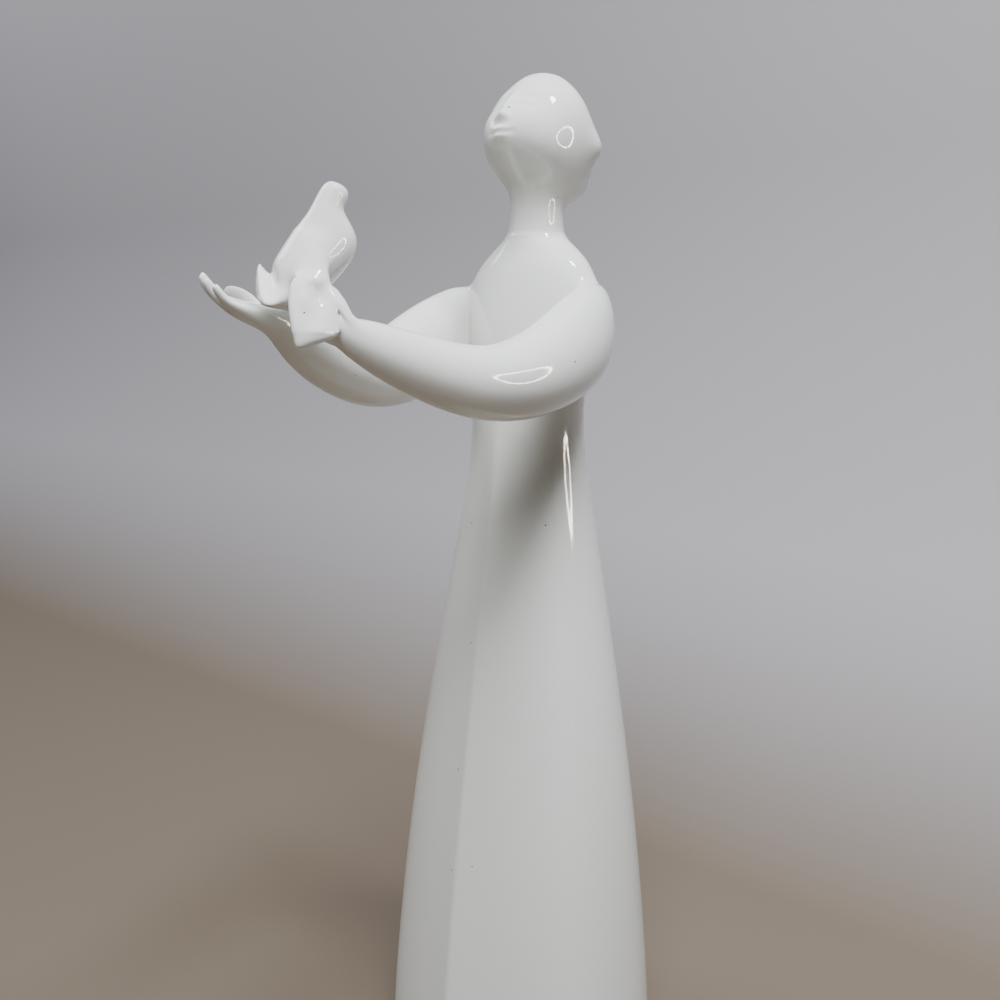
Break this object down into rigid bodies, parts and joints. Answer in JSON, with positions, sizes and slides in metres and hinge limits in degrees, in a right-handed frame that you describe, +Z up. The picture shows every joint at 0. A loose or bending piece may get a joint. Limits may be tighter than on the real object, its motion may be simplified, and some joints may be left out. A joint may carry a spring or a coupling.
{
  "type": "dove statue",
  "caption": "Glossy white porcelain figurine of a woman in a long flared gown who holds out a dove on her open palms.",
  "frame": {"origin": "centre of the gown's flat underside, under the neck's axis", "axes": "+Z up along the figure, -Y the way she faces, +X her left side"},
  "size_m": [0.0578, 0.0933, 0.2038],
  "materials": {
    "glaze": "gloss"
  },
  "bodies": {
    "root": {"dove_statue": "glaze"}
  },
  "joints": []
}
